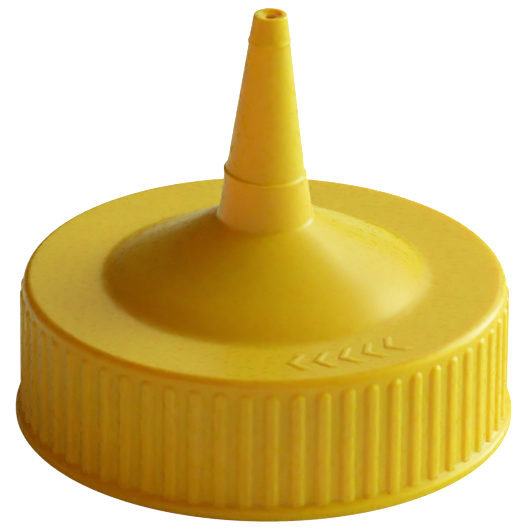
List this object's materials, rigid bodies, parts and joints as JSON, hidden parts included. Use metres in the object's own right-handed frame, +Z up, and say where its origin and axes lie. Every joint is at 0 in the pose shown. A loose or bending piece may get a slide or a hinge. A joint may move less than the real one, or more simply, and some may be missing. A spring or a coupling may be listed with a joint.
{
  "type": "squeeze bottle cap",
  "caption": "Ribbed wide-mouth screw cap with a domed top and a tapered cone spout for dispensing sauce from a squeeze bottle.",
  "frame": {"origin": "middle of the flat ring at the bottom of the skirt, which the cap stands on", "axes": "+Z up along the cap's axis and out of the spout; -Y is the front, with the turn-to-close mark just right of it"},
  "size_m": [0.068, 0.068, 0.0589],
  "materials": {
    "cap_plastic": "satin moulded polyethylene, slightly translucent",
    "washer_foam": "matte foamed polyethylene"
  },
  "bodies": {
    "root": {"cap": "cap_plastic", "sealing_washer": "washer_foam"}
  },
  "joints": []
}
